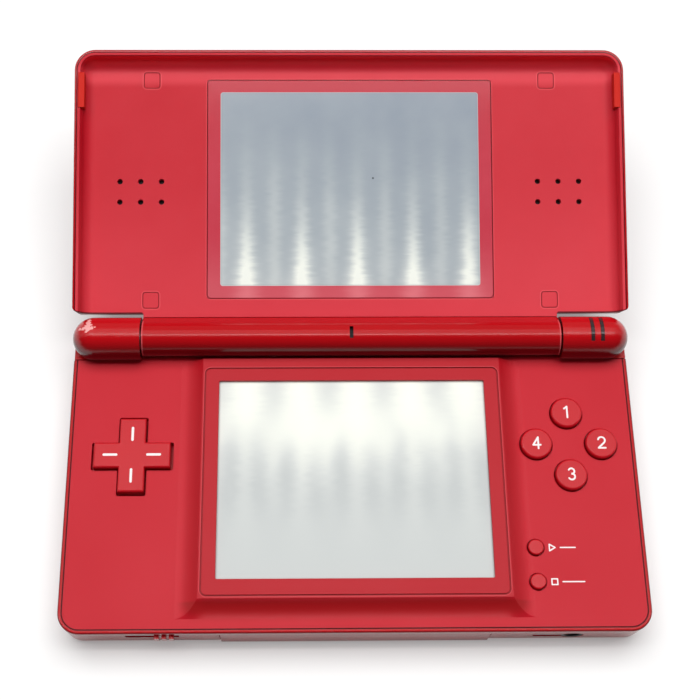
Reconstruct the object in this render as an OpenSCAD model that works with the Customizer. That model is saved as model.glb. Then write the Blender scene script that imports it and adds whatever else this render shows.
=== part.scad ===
// Clamshell handheld console, lying open on a table with its lid leaning back.
// Lengths are in millimetres and angles in degrees. The origin is on the table, under the
// middle of the open console: X runs to the right, Y to the back and Z up.
// Modules draw the base from its front edge (y = 0). place() shifts it to the origin, and
// in_lid() draws in the lid's own frame: x along the hinge, y out along the lid and z from
// the hinge axis towards the lid's inner face.

/* [Overall] */
// Width of base and lid
console_w = 133; // [132:0.5:138]
// Depth from the front edge to the hinge axis
hinge_y = 69.5; // [69:0.5:72]
// Height of the hinge axis over the table
hinge_z = 14.8; // [14.6:0.1:15.4]
// Angle between the base and the open lid
open_angle = 161.5; // [150:0.5:165]
// Corner radius seen from above
corner_r = 5; // [5:0.1:5.6]
// Gap between parts that only meet
seam = 0.1; // [0.08:0.01:0.14]
// Running clearance of a shaft in its bore
run_gap = 0.05; // [0.03:0.01:0.08]

/* [Base shells] */
// Height of the control panel's face over the table
panel_z = 11.6; // [11.5:0.05:11.9]
// Thickness of the control panel
panel_t = 1.5; // [1.3:0.05:1.5]
// Width of the lower shell's rim round the panel
rim_w = 0.9; // [0.8:0.05:1.2]
// Wall of the lower shell
shell_wall = 1.5; // [1.4:0.05:1.8]
// Thickness of the lower shell's floor
floor_t = 1.2; // [1.1:0.05:1.25]
// Radius along the lower shell's bottom edges
belly_r = 2.2; // [1.8:0.1:2.6]
// Radius along the rims' outer edges
rim_r = 0.45; // [0.3:0.05:0.5]
// Lean of the lower shell's sides
side_lean = 2.3; // [1.5:0.1:2.6]

/* [Screen block] */
// Height of the raised screen block's face over the table
block_z = 13.5; // [13.4:0.05:13.8]
// Width of the block's flat face
block_w = 70.6; // [70:0.2:72]
// Front edge of the block's flat face
block_y = 7.4; // [7:0.1:7.8]
// Run of the block's hollow flank at each side
flank_w = 5.2; // [4.5:0.1:5.6]
// Run of the block's front slope
front_slope = 4.2; // [3.6:0.1:4.6]
// Depth of the hollow in the flanks
flank_sag = 0.45; // [0.3:0.05:0.6]
// Inset of the fine groove round the block's face
groove_in = 0.45; // [0.4:0.05:0.6]
// Depth of the field inside that groove
groove_d = 54.7; // [54.4:0.1:55]
// Width and depth of the groove
groove_w = 0.35; // [0.25:0.05:0.4]
// Width of the screen's window
window_w = 62.8; // [62:0.1:63.4]
// Height of the screen's window along the face
window_h = 47.5; // [47:0.1:48]
// Front edge of the window
window_y = 11.75; // [11.5:0.05:12]
// Depth of the touch panel under the block's face
window_sunk = 0.8; // [0.7:0.05:0.9]

/* [Hinge] */
// Radius of the knuckles
knuckle_r = 5.1; // [5:0.05:5.2]
// Radius of the lid's barrel
barrel_r = 4.2; // [4.1:0.05:4.3]
// Distance of the barrel's ends from the console's sides
barrel_in = 16.65; // [16.2:0.05:17]
// Wall of the barrel
barrel_wall = 0.9; // [0.8:0.05:1]
// Thickness of the barrel's end walls
barrel_end = 1.8; // [1.5:0.1:2.2]
// Gap between the barrel and each knuckle
knuckle_gap = 0.25; // [0.2:0.05:0.4]
// Gap between the barrel and the trough under it
trough_gap = 0.55; // [0.45:0.05:0.6]
// Radius of the clutch and of the bush in their knuckles
clutch_r = 3.4; // [3.2:0.05:3.5]
// Radius of the shaft on the right
shaft_r = 1.8; // [1.6:0.05:2]
// Outer radius of the hollow sleeve on the left
sleeve_r = 2.6; // [2.4:0.05:2.8]
// Bore radius of the hollow sleeve
sleeve_bore_r = 1.7; // [1.5:0.05:1.9]

/* [Lid] */
// Length of the lid from the hinge axis to its free edge
lid_len = 69.9; // [69.3:0.1:72]
// Distance of the lid's end beside each knuckle from the hinge axis
ear_u = 6.2; // [6.1:0.1:6.5]
// Depth of the lid's inner face under the hinge axis
face_n = 1.15; // [1.1:0.05:1.3]
// Depth of the lid's outer face under the hinge axis
back_n = 6.7; // [6.65:0.05:7]
// Height of the rim's edge over the hinge axis
rim_n = 2.75; // [2.5:0.05:2.75]
// Width of the outer shell's share of the rim
outer_rim_w = 0.65; // [0.6:0.05:0.75]
// Corner radius of the lid's ends beside the knuckles
ear_r = 1.5; // [1:0.1:2]
// Width of the inner shell's share of the rim
inner_rim_w = 0.65; // [0.6:0.05:0.75]
// Slope of the rim's inner wall, as a run
rim_lean = 0.4; // [0.3:0.05:0.5]
// Radius of the fillet between the rim and the inner face
tray_r = 2.8; // [2.4:0.1:2.8]
// Radius along the outer shell's back edges
back_r = 2.5; // [2:0.1:3]
// Thickness of the inner face
face_t = 1.3; // [1.2:0.05:1.4]
// Thickness of the outer shell's back
back_t = 1.2; // [1:0.05:1.3]
// Width of the window plate
plate_w = 69.1; // [68.6:0.1:69.6]
// Length of the window plate along the lid
plate_h = 53.5; // [53:0.1:54]
// Distance of the window plate from the hinge axis
plate_u = 9.85; // [9.6:0.05:10]
// Thickness of the window plate
plate_t = 1; // [0.8:0.05:1]

/* [Lid trim] */
// Side of a square screw cover
cover_w = 3.75; // [3.6:0.05:4]
// Thickness of a screw cover
cover_t = 0.5; // [0.4:0.05:0.6]
// Distance of the screw covers from the console's sides
cover_in = 18.4; // [18.2:0.1:18.7]
// Distance of the lower covers from the hinge axis
cover_u_low = 9.4; // [9.4:0.1:9.8]
// Distance of the upper covers from the lid's free edge
cover_end = 6.6; // [6.4:0.1:6.9]
// Diameter of a speaker hole
speaker_hole = 1.3; // [1.1:0.1:1.5]
// Pitch of the speaker holes
speaker_pitch = 5.02; // [4.8:0.02:5.2]
// Distance of the speakers from the console's sides
speaker_in = 15.8; // [15.5:0.1:16.1]
// Distance of the speakers from the hinge axis
speaker_u = 35.8; // [35:0.1:37]
// Radius of a speaker
speaker_r = 8; // [7.5:0.1:8.3]
// Length of a bumper along the rim
bumper_l = 8.5; // [8:0.1:9.4]
// Width of a bumper
bumper_w = 1.45; // [1.35:0.05:1.6]
// Distance of the bumpers from the lid's free edge
bumper_end = 5.7; // [5.4:0.1:6]
// How far a bumper stands over the rim
bumper_proud = 0.15; // [0.1:0.05:0.2]

/* [Controls] */
// Distance of the cross from the console's side
cross_in = 15.15; // [14.9:0.05:15.4]
// Depth of the cross's centre from the front edge
cross_y = 41.1; // [40.5:0.05:42]
// Size of the cross over its arms
cross_size = 17.8; // [17:0.1:18]
// Width of the cross's arms
cross_arm = 6.1; // [5.8:0.1:6.3]
// Height of the cross over the panel
cross_proud = 1.5; // [1.3:0.05:1.7]
// Gap between the cross and its hole
cross_gap = 0.65; // [0.6:0.05:0.75]
// Tilt of the cross each way
cross_tilt = 3; // [2:0.5:3.5]
// Distance of the round buttons' middle from the console's side
keys_in = 15.8; // [15.6:0.05:16.1]
// Depth of the round buttons' middle from the front edge
keys_y = 43.65; // [43:0.05:44]
// Distance of each round button from their middle
keys_ring = 7.62; // [7.4:0.02:7.8]
// Radius of a round button
key_r = 3.7; // [3.5:0.05:3.8]
// Height of the round buttons over the panel
key_proud = 1.3; // [1.1:0.05:1.4]
// Travel of the round buttons
key_travel = 0.8; // [0.6:0.05:0.8]
// Distance of the two small buttons from the console's side
small_in = 25.25; // [25:0.05:25.4]
// Depth of the front small button
small_y = 11.15; // [10.8:0.05:11.4]
// Distance between the two small buttons
small_pitch = 7.85; // [7.7:0.05:8.1]
// Radius of a small button
small_r = 1.8; // [1.7:0.05:1.9]
// Height of the small buttons over the panel
small_proud = 0.9; // [0.7:0.05:1]
// Gap between a button and its hole
key_gap = 0.25; // [0.2:0.05:0.3]

/* [Edge controls] */
// Distance of the volume slot's middle from the console's side
volume_in = 21; // [20.6:0.1:21.4]
// Length of the volume slot
volume_slot = 12; // [11.7:0.1:12.3]
// Width of the volume knob
volume_knob = 4.4; // [4:0.1:4.6]
// Height of the volume slot's middle over the table
volume_z = 8.2; // [8.1:0.05:8.3]
// Depth of the power switch's middle from the front edge
power_y = 45.5; // [44.5:0.1:47]
// Length of the power slot
power_slot = 9; // [8.5:0.1:9.4]
// Length of the power knob
power_knob = 5; // [4.8:0.1:5.4]
// Travel of the power knob
power_travel = 2; // [1.5:0.1:2.5]
// Swing of the shoulder buttons
shoulder_swing = 3; // [2:0.5:3]
// Length of the stylus
stylus_l = 87; // [80:0.5:88]
// Radius of the stylus
stylus_r = 2.4; // [2.2:0.05:2.4]

/* [Slots and sockets] */
// Width of the cartridge slot at the front
cart_w = 61; // [60:0.5:61.5]
// Height of the cartridge slot
cart_h = 8.1; // [7.8:0.05:8.15]
// Depth of the cartridge slot
cart_d = 25; // [24:0.5:25.5]
// Width of the card slot at the back
card_w = 34; // [33.4:0.1:34.4]
// Height of the card slot
card_h = 4.4; // [4.3:0.05:4.4]
// Depth of the card slot
card_d = 33; // [32:0.5:33.5]
// Distance of the card slot's middle from the console's
card_x = 12; // [11.5:0.1:12.5]
// Radius of the headphone jack's bore
jack_r = 1.8; // [1.75:0.05:1.9]
// Distance of the headphone jack from the console's side
jack_in = 17.5; // [17.3:0.1:17.8]
// Length of the headphone jack
jack_l = 12; // [11:0.5:13]
// Distance of the charge socket from the console's side
charge_in = 26; // [25:0.1:27]

/* [Inside] */
// Thickness of the main board
board_t = 1; // [0.8:0.05:1]
// Width of the battery
battery_w = 38; // [36:0.5:38.5]
// Depth of the battery
battery_d = 33; // [31:0.5:33.5]
// Thickness of the battery
battery_t = 4.9; // [4.5:0.1:5]
// Radius of a rubber foot
foot_r = 2.6; // [2.3:0.1:2.8]
// Height of a rubber foot under the shell
foot_h = 0.5; // [0.4:0.05:0.55]

/* [Hidden] */
$fn = 96;
eps = 0.01;
lid_tilt = 180 - open_angle;
shell_bottom = foot_h;
floor_z = shell_bottom + floor_t;
inner_fillet = 0.2;
panel_low = panel_z - panel_t;
half_w = console_w / 2;
base_back = hinge_y + knuckle_r;
trough_r = barrel_r + trough_gap;
ledge_z = hinge_z - trough_r;
back_y = hinge_y + (lid_len - back_r) * cos(lid_tilt) + (back_n - back_r) * sin(lid_tilt) + back_r;
volume_proud = 0.7;
mid_y = (back_y - volume_proud) / 2;
panel_half = half_w - rim_w - seam;
barrel_half = half_w - barrel_in;
knuckle_x = barrel_half + knuckle_gap;
dome_x = half_w - seam - knuckle_r;
cover_x = half_w - cover_in;
cover_u_high = lid_len - cover_end;
cover_corner = 0.6;
speaker_x = half_w - speaker_in;
bumper_u = lid_len - bumper_end - bumper_l;
cross_x = half_w - cross_in;
keys_x = half_w - keys_in;
small_x = half_w - small_in;
volume_x = half_w - volume_in;
jack_x = half_w - jack_in;
charge_x = half_w - charge_in;
cheek_x = dome_x - 1.4;
clutch_out = dome_x - 1.1;
glass_t = 1;
glass_margin = 2.1;
glass_z = block_z - window_sunk;
lcd_t = 1.8;
upper_lcd_t = 2.6;
lcd_edge = 1.6;
block_back = hinge_y - sqrt(pow(trough_r, 2) - pow(hinge_z - block_z, 2)) - 0.05;
roof_t = 1.25;
corner_cut_y = hinge_y - 6.3;
corner_seam_y = hinge_y - 4.2;
corner_seam_deep = 0.4;
corner_inset = 0.2;
upright = 1.2;
shoulder_x = half_w - 15.3;
shoulder_low = 3.6;
shoulder_wall = 1.5;
pivot_x = half_w - 13.5;
pivot_y = base_back - 2.8;
pivot_r = 0.6;
pivot_boss_r = 1.5;
pivot_boss_top = 7;
button_gap = (half_w - pivot_x) * sin(shoulder_swing) + 0.2;
spring_r = 1.25;
pad_t = 0.6;
flange_t = 0.7;
flange_top = panel_low - seam;
key_low = flange_top - flange_t;
board_top = key_low - key_travel - seam - pad_t;
board_z = board_top - board_t;
rocker_r = 10.3;
rocker_t = 0.5;
rocker_high = panel_low - rocker_r * sin(cross_tilt) - 0.16;
rocker_low = rocker_high - rocker_t;
rocker_mid = rocker_high - rocker_t / 2;
tilt_ball_r = 0.8;
rocker_room = 0.5;
cross_low = rocker_high + cross_size / 2 * sin(cross_tilt) + 0.03;
cross_post_r = 2.4;
cross_edge_r = 0.45;
cross_pad_top = rocker_low - rocker_r * sin(cross_tilt) - 0.06;
cart_z = 1.3;
cart_back = shell_wall + cart_d;
rail_t = 1.2;
card_z = floor_z + 0.4;
card_front = base_back - card_d;
stylus_y = 32.8;
stylus_z = floor_z + seam + stylus_r;
stylus_gap = 0.15;
silo_gap = 0.3;
rib_t = 1;
battery_x = card_x - card_w / 2 - 2.6 - battery_w;
battery_y = base_back - shell_wall - 1.2 - battery_d;
cover_ledge = 1.2;
lug_r = 2.4;
cover_screw_x = battery_x - rib_t - 1.6;
cover_screw_y = battery_y + battery_d / 2;
battery_cover_t = 0.9;
case_screws_at = [for (x = [6 - half_w, half_w - 6], y = [7, hinge_y - 10.7]) [x, y]];
feet_at = [for (x = [9.5 - half_w, half_w - 9.5], y = [14.5, hinge_y - 2.5]) [x, y]];
pilot_gap = 0.02;
hole_gap = 0.1;
head_seat = 0.7;
screw_r = 0.9;
cover_screw_r = 0.7;
foot_edge_r = 0.4;
foot_sunk = 0.3;
screw_head_r = 1.7;
screw_head_h = 1.1;
boss_r = 2.3;
lid_head_r = 1.5;
lid_head_h = 0.4;
lid_screws_at = [for (x = [-cover_x, cover_x], u = [cover_u_low, cover_u_high]) [x, u]];
lid_w = console_w - 2 * seam;
jack_z = 6.2;
jack_nose_r = 2.5;
jack_front = 0.3;
jack_left = 9.2;
jack_right = 3.3;
charge_w = 8;
charge_h = 3.6;
charge_z = 4.2;
power_z = 5.3;
knob_half = 0.65;
volume_half = 1.1;
carrier_t = 0.7;
dust_gap = 0.15;
mic_angle = 72;
mic_r = 1.9;
inner_u = 5.3;
skin_n = face_n + face_t;
rim_total = outer_rim_w + seam + inner_rim_w;
neck_n = 4.4;
rear_wall = 1;
light_at = [dome_x - 4.1, dome_x - 1.8];
light_w = 0.8;
light_front = 2.6;
light_rear = 3.7;
radio_w = 22;
radio_d = 18;
radio_x = -3;
radio_y = 45;
ribbon_l = 12;
switch_w = 4;
switch_d = 2.6;
switch_low = 4;

// ---- Placing ----

module place() translate([0, -mid_y, 0]) children();

module in_lid() place() translate([0, hinge_y, hinge_z]) rotate([lid_tilt, 0, 0]) children();

// Both sides, mirrored about the console's middle plane
module both_sides() {
    children();
    mirror([1, 0, 0]) children();
}

// ---- Plane shapes ----

module quarter(r) {
    intersection() {
        circle(r);
        square(r);
    }
}

// Rectangle with round corners, centred in x, from y0 to y1
module soft_rect(w, y0, y1, r) {
    translate([-w / 2 + r, y0]) square([w - 2 * r, y1 - y0]);
    translate([-w / 2, y0 + r]) square([w, y1 - y0 - 2 * r]);
    for (x = [-w / 2 + r, w / 2 - r], y = [y0 + r, y1 - r]) translate([x, y]) circle(r);
}

// Plus sign
module cross_shape(size, arm, r) {
    soft_rect(size, -arm / 2, arm / 2, r);
    soft_rect(arm, -size / 2, size / 2, r);
}

// Section of a block's edge, from its corner centre out to reach, with its outer corners rounded
module edge_section(reach, z0, z1, low_r, high_r) {
    translate([0, z0]) square([reach - low_r, low_r]);
    translate([reach - low_r, z0 + low_r]) mirror([0, 1]) quarter(low_r);
    translate([0, z0 + low_r]) square([reach, z1 - z0 - low_r - high_r]);
    translate([0, z1 - high_r]) square([reach - high_r, high_r]);
    translate([reach - high_r, z1 - high_r]) quarter(high_r);
}

// The same section with its side leaning in from an upright top down to the lower corner
module leaning_section(reach, z0, z1, low_r, high_r, lean, upright_z) {
    foot_z = z0 + low_r;
    inset = round(1000 * (upright_z - foot_z) * tan(lean)) / 1000;
    corner = reach - low_r - inset;
    translate([0, z0]) square([corner, z1 - z0]);
    translate([corner, foot_z]) mirror([0, 1]) quarter(low_r);
    polygon([[corner, foot_z], [reach - inset, foot_z], [reach, upright_z], [reach, z1 - high_r],
        [corner, z1 - high_r]]);
    translate([0, z1 - high_r]) square([reach - high_r, high_r]);
    translate([reach - high_r, z1 - high_r]) quarter(high_r);
}

// ---- Solid shapes ----

// A block from y0 to y1 whose edge follows the section drawn by its child, turned at each corner
module turned_block(w, y0, y1, r, z0, z1) {
    d = y1 - y0;
    translate([0, (y0 + y1) / 2, 0]) {
        for (k = [0:3]) {
            reach = (k % 2 == 0 ? w : d) / 2 - r;
            run = (k % 2 == 0 ? d : w) - 2 * r;
            rotate([0, 0, 90 * k]) translate([reach, run / 2, 0]) {
                rotate([90, 0, 0]) linear_extrude(run) children();
                rotate_extrude(angle = 90) children();
            }
        }
        translate([r - w / 2, r - d / 2, z0]) cube([w - 2 * r, d - 2 * r, z1 - z0]);
    }
}

// Plate with round plan corners
module plate(w, y0, y1, r, z0, z1) translate([0, 0, z0]) linear_extrude(z1 - z0) soft_rect(w, y0, y1, r);

module box(x0, x1, y0, y1, z0, z1) translate([x0, y0, z0]) cube([x1 - x0, y1 - y0, z1 - z0]);

// Cylinder along x between two places
module bar_x(x0, x1, r) translate([x0, 0, 0]) rotate([0, 90, 0]) cylinder(h = x1 - x0, r = r);

// Cylinder along y between two depths, at a place in the front view
module bar_y(x, z, y0, y1, r) translate([x, y1, z]) rotate([90, 0, 0]) cylinder(h = y1 - y0, r = r);

module post(x, y, z0, z1, r) translate([x, y, z0]) cylinder(h = z1 - z0, r = r);

// Extrusion along x of a section drawn in y and z
module along_x(x0, x1) translate([x0, 0, 0]) rotate([90, 0, 90]) linear_extrude(x1 - x0) children();

// ---- Base housing ----

module base_block() {
    turned_block(console_w, 0, base_back, corner_r, shell_bottom, panel_z)
        leaning_section(corner_r, shell_bottom, panel_z, belly_r, rim_r, side_lean, panel_z - upright);
}

// Room for the lid's barrel between the knuckles
module trough(r) {
    translate([0, hinge_y, hinge_z]) bar_x(-knuckle_x, knuckle_x, r);
    box(-knuckle_x, knuckle_x, hinge_y, base_back + 1, ledge_z, panel_z + 2);
}

// Room for a shoulder button at the right rear corner, under the upper shell's own corner
module shoulder_bay() {
    box(shoulder_x - 0.2, console_w, corner_cut_y, base_back + 1, shoulder_low - 0.3, panel_low);
    box(shoulder_x - 0.2, console_w, corner_seam_y, base_back + 1, panel_low - 1, panel_z + 1);
}

module base_lower_shell() color("firebrick") place() {
    inner_r = corner_r - shell_wall;
    difference() {
        base_block();
        turned_block(console_w - 2 * shell_wall, shell_wall, base_back - shell_wall, inner_r, floor_z,
            panel_z + 1) edge_section(inner_r, floor_z, panel_z + 1, inner_fillet, inner_fillet);
        plate(console_w - 2 * rim_w, rim_w, base_back - rim_w, corner_r - rim_w, panel_low, panel_z + 1);
        box(-knuckle_x, knuckle_x, hinge_y, base_back + 1, ledge_z, panel_z + 1);
        both_sides() shoulder_bay();
        both_sides() box(knuckle_x - seam, shoulder_x, corner_cut_y, base_back + 1, ledge_z - roof_t - seam,
            panel_z + 1);
        box(-cart_w / 2, cart_w / 2, -1, cart_back, cart_z, cart_z + cart_h);
        box(-volume_x - volume_slot / 2, -volume_x + volume_slot / 2, -1, 3, volume_z - volume_half - seam,
            volume_z + volume_half + seam);
        bar_y(jack_x, jack_z, -1, 3, jack_nose_r + seam);
        box(jack_x - jack_left + 0.3, jack_x, -1, 3, jack_z - 1, jack_z + 1);
        box(card_x - card_w / 2, card_x + card_w / 2, base_back - 3, base_back + 1, card_z, card_z + card_h);
        box(charge_x - charge_w / 2, charge_x + charge_w / 2, base_back - 3, base_back + 1,
            charge_z - charge_h / 2, charge_z + charge_h / 2);
        box(half_w - 3, half_w + 1, power_y - power_slot / 2, power_y + power_slot / 2,
            power_z - knob_half - seam, power_z + knob_half + seam);
        translate([0, stylus_y, stylus_z]) bar_x(half_w - 4, half_w + 1, stylus_r + stylus_gap);
        box(battery_x - cover_ledge, battery_x + battery_w + cover_ledge, battery_y - cover_ledge,
            battery_y + battery_d + cover_ledge, shell_bottom - 1, shell_bottom + battery_cover_t);
        box(battery_x, battery_x + battery_w, battery_y, battery_y + battery_d, shell_bottom - 1, floor_z + 1);
        post(cover_screw_x, cover_screw_y, shell_bottom - 1, shell_bottom + battery_cover_t, lug_r);
        post(cover_screw_x, cover_screw_y, shell_bottom, floor_z + 1, cover_screw_r + pilot_gap);
        for (p = case_screws_at)
            post(p[0], p[1], shell_bottom - 1, floor_z + head_seat, screw_head_r + 2 * hole_gap);
        for (p = case_screws_at) post(p[0], p[1], shell_bottom, board_z, screw_r + hole_gap);
        for (p = feet_at) post(p[0], p[1], shell_bottom - 1, shell_bottom + foot_sunk, foot_r + run_gap);
    }
    for (p = case_screws_at) difference() {
        post(p[0], p[1], floor_z - eps, board_z, boss_r);
        post(p[0], p[1], shell_bottom, floor_z + head_seat, screw_head_r + 2 * hole_gap);
        post(p[0], p[1], floor_z, board_z + 1, screw_r + hole_gap);
    }
    // Ribs that hold the stylus and keep the battery in place
    for (side = [-1, 1]) {
        edge = stylus_y + side * (stylus_r + silo_gap + rib_t / 2);
        box(-20, half_w - shell_wall, edge - rib_t / 2, edge + rib_t / 2, floor_z - eps, board_z - seam);
    }
    box(battery_x - rib_t, battery_x, battery_y, battery_y + battery_d, floor_z - eps, board_z - seam);
    difference() {
        post(cover_screw_x, cover_screw_y, floor_z - eps, floor_z + 2.4, 1.5);
        post(cover_screw_x, cover_screw_y, shell_bottom, floor_z + 3, cover_screw_r + pilot_gap);
    }
    both_sides() difference() {
        post(pivot_x, pivot_y, floor_z - eps, shoulder_low - 0.3, pivot_boss_r);
        post(pivot_x, pivot_y, floor_z + 0.3, shoulder_low, pivot_r);
    }
}

// Straight slope from (0, rise) down to (run, 0)
module slope(run, rise) polygon([[0, -1], [run, -1], [run, 0], [0, rise]]);

// The same slope hollowed by an arc of the given sag
module flank(run, rise, sag) {
    chord = norm([run, rise]);
    arc_r = (chord * chord / 4 + sag * sag) / (2 * sag);
    lean = atan2(rise, run);
    difference() {
        slope(run, rise);
        translate([run / 2 + sin(lean) * (arc_r - sag), rise / 2 + cos(lean) * (arc_r - sag)]) circle(arc_r);
    }
}

// The raised block, which runs back to the barrel: its front view with hollow flanks, cut by its
// side view
module screen_block() {
    rise = block_z - panel_z;
    half = block_w / 2;
    intersection() {
        translate([0, base_back, panel_z]) rotate([90, 0, 0]) linear_extrude(base_back) {
            translate([-half, -1]) square([block_w, rise + 1]);
            translate([half, 0]) flank(flank_w, rise, flank_sag);
            translate([-half, 0]) mirror([1, 0]) flank(flank_w, rise, flank_sag);
        }
        along_x(-half_w, half_w) {
            translate([block_y, panel_z - 1]) square([block_back - block_y, rise + 1]);
            translate([block_y, panel_z]) mirror([1, 0]) slope(front_slope, rise);
        }
    }
}

// A knuckle with its round end, drawn along x from the hinge axis
module knuckle() {
    translate([knuckle_x, hinge_y, hinge_z]) rotate([0, 90, 0]) rotate_extrude() {
        square([knuckle_r, dome_x - knuckle_x]);
        translate([0, dome_x - knuckle_x]) quarter(knuckle_r);
    }
}

// The upper shell's own corner over a shoulder button, behind a fine seam
module shell_corner() {
    intersection() {
        plate(console_w - 2 * corner_inset, 0, base_back - corner_inset, corner_r, panel_low, panel_z);
        box(cheek_x, console_w, corner_seam_y + seam, base_back, panel_low, panel_z);
    }
}

module face_groove() {
    g = groove_in;
    translate([0, 0, block_z - groove_w]) linear_extrude(1) difference() {
        soft_rect(block_w - 2 * g, block_y + g, block_y + g + groove_d, 1.5);
        soft_rect(block_w - 2 * g - 2 * groove_w, block_y + g + groove_w, block_y + g + groove_d - groove_w,
            1.5 - groove_w);
    }
}

module key_holes(r, z0, z1) {
    for (k = [0:3]) post(keys_x + keys_ring * cos(90 * k), keys_y + keys_ring * sin(90 * k), z0, z1, r);
}

module base_upper_shell() color("crimson") place() {
    glass_w = window_w + 2 * glass_margin;
    difference() {
        union() {
            plate(2 * panel_half, rim_w + seam, base_back - rim_w - seam, corner_r - rim_w - seam, panel_low,
                panel_z);
            both_sides() shell_corner();
            screen_block();
            box(-cheek_x, cheek_x, corner_cut_y, base_back - shell_wall - seam, ledge_z - roof_t, panel_low);
            both_sides() box(knuckle_x, cheek_x, hinge_y, base_back, ledge_z - roof_t, panel_z);
            both_sides() knuckle();
            for (p = case_screws_at) post(p[0], p[1], board_top + seam, panel_low, boss_r - 0.2);
        }
        trough(trough_r);
        plate(glass_w + 2 * seam, window_y - glass_margin - seam, window_y + window_h + glass_margin + seam,
            0.5, panel_low - 1, glass_z);
        plate(window_w, window_y, window_y + window_h, 0.4, glass_z - 1, block_z + 1);
        face_groove();
        translate([-cross_x, cross_y, panel_low - 1]) linear_extrude(panel_t + 2)
            cross_shape(cross_size + 2 * cross_gap, cross_arm + 2 * cross_gap - 0.6, 0.5);
        key_holes(key_r + key_gap, panel_low - 1, panel_z + 1);
        for (k = [0, 1]) post(small_x, small_y + k * small_pitch, panel_low - 1, panel_z + 1, small_r + key_gap);
        for (p = case_screws_at) post(p[0], p[1], board_top, panel_z - 0.6, screw_r + pilot_gap);
        both_sides() translate([0, hinge_y, hinge_z]) bar_x(knuckle_x - 1, clutch_out + 0.2, clutch_r + 0.03);
        both_sides() post(pivot_x, pivot_y, ledge_z - roof_t - 1, ledge_z - 0.3, pivot_r + 0.02);
        light_slots(0.05);
        both_sides() box(dome_x - 1, console_w, corner_seam_y, corner_seam_y + 2 * seam,
            panel_z - corner_seam_deep, panel_z + 1);
    }
}

// ---- Lower display and electronics ----

module touch_panel() color("gainsboro") place() {
    w = window_w + 2 * glass_margin;
    plate(w, window_y - glass_margin, window_y + window_h + glass_margin, 0.4, glass_z - glass_t, glass_z);
}

module lower_display() color("dimgray") place() {
    box(-window_w / 2 - lcd_edge, window_w / 2 + lcd_edge, window_y - lcd_edge, window_y + window_h + lcd_edge,
        glass_z - glass_t - lcd_t, glass_z - glass_t);
}

module main_board() color("darkgreen") place() {
    edge = shell_wall + 0.6;
    difference() {
        plate(console_w - 2 * edge, edge, base_back - edge, 3, board_z, board_top);
        box(-cart_w / 2 - rail_t - 1, cart_w / 2 + rail_t + 1, -1, cart_back + 3.6, board_z - 1, board_top + 1);
        both_sides() box(shoulder_x - 1.6, console_w, corner_cut_y - 1.5, base_back, board_z - 1, board_top + 1);
        for (p = case_screws_at) post(p[0], p[1], board_z - 1, board_top + 1, screw_r + 0.2);
        box(-volume_x - volume_slot / 2 - 1, -volume_x + volume_slot / 2 + 1, -1, 6.4, board_z - 1, board_top + 1);
        box(jack_x - jack_left - 0.4, jack_x + jack_right + 0.5, -1, jack_l + 1.8, board_z - 1, board_top + 1);
    }
}

module radio_module() color("silver") place() {
    low = board_top + 0.4;
    translate([radio_x, radio_y, 0]) {
        box(-radio_w / 2, radio_w / 2, -radio_d / 2, radio_d / 2, board_top, low);
        box(1.5 - radio_w / 2, radio_w / 2 - 1.5, 1.5 - radio_d / 2, radio_d / 2 - 1.5, low - eps, low + 1.1);
    }
}

module battery() color("lightslategray") place() {
    translate([battery_x + battery_w / 2, 0, 0])
        plate(battery_w - 2 * seam, battery_y + seam, battery_y + battery_d - seam, 1.5,
            shell_bottom + battery_cover_t, shell_bottom + battery_cover_t + battery_t);
}

module battery_cover() color("firebrick") place() {
    g = cover_ledge - seam;
    difference() {
        union() {
            box(battery_x - g, battery_x + battery_w + g, battery_y - g, battery_y + battery_d + g,
                shell_bottom, shell_bottom + battery_cover_t);
            post(cover_screw_x, cover_screw_y, shell_bottom, shell_bottom + battery_cover_t, lug_r - seam);
        }
        post(cover_screw_x, cover_screw_y, shell_bottom - 1, floor_z, cover_screw_r + hole_gap);
        post(cover_screw_x, cover_screw_y, shell_bottom - 1, shell_bottom + 0.5, 1.5);
    }
}

// A screw standing on its head at z, with its thread left out
module screw(x, y, z, head_r, head_h, r, l) {
    difference() {
        post(x, y, z, z + head_h, head_r);
        for (a = [0, 60, 120]) translate([x, y, z - eps]) rotate([0, 0, a])
            translate([-head_r * 0.6, -0.15, 0]) cube([head_r * 1.2, 0.3, 0.4]);
    }
    post(x, y, z + head_h - eps, z + head_h + l, r);
}

module battery_cover_screw() color("silver") place() {
    screw(cover_screw_x, cover_screw_y, shell_bottom + 0.1, 1.4, 0.4, cover_screw_r, 2.6);
}

module case_screws() color("silver") place() {
    head_z = floor_z + head_seat - screw_head_h;
    for (p = case_screws_at)
        screw(p[0], p[1], head_z, screw_head_r, screw_head_h, screw_r, panel_low - head_z - screw_head_h);
}

module rubber_feet() color("dimgray") place() {
    for (p = feet_at) translate([p[0], p[1], 0]) rotate_extrude() {
        square([foot_r - foot_edge_r, shell_bottom + foot_sunk]);
        translate([foot_r - foot_edge_r, foot_edge_r]) mirror([0, 1]) quarter(foot_edge_r);
        translate([foot_r - foot_edge_r, foot_edge_r])
            square([foot_edge_r, shell_bottom + foot_sunk - foot_edge_r]);
    }
}

// ---- Sockets ----

module card_socket() color("silver") place() {
    w = card_w / 2;
    back = base_back - shell_wall - seam;
    difference() {
        box(card_x - w - 1, card_x + w + 1, card_front - 2.8, back, card_z - 0.3, card_z + card_h + 0.2);
        box(card_x - w, card_x + w, card_front, back + 1, card_z, card_z + card_h);
        for (k = [0:16]) translate([card_x - w + 1.1 + k * (card_w - 2.8) / 16, card_front - 1.6, card_z])
            cube([0.6, 1.7, 1.2]);
    }
}

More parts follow.
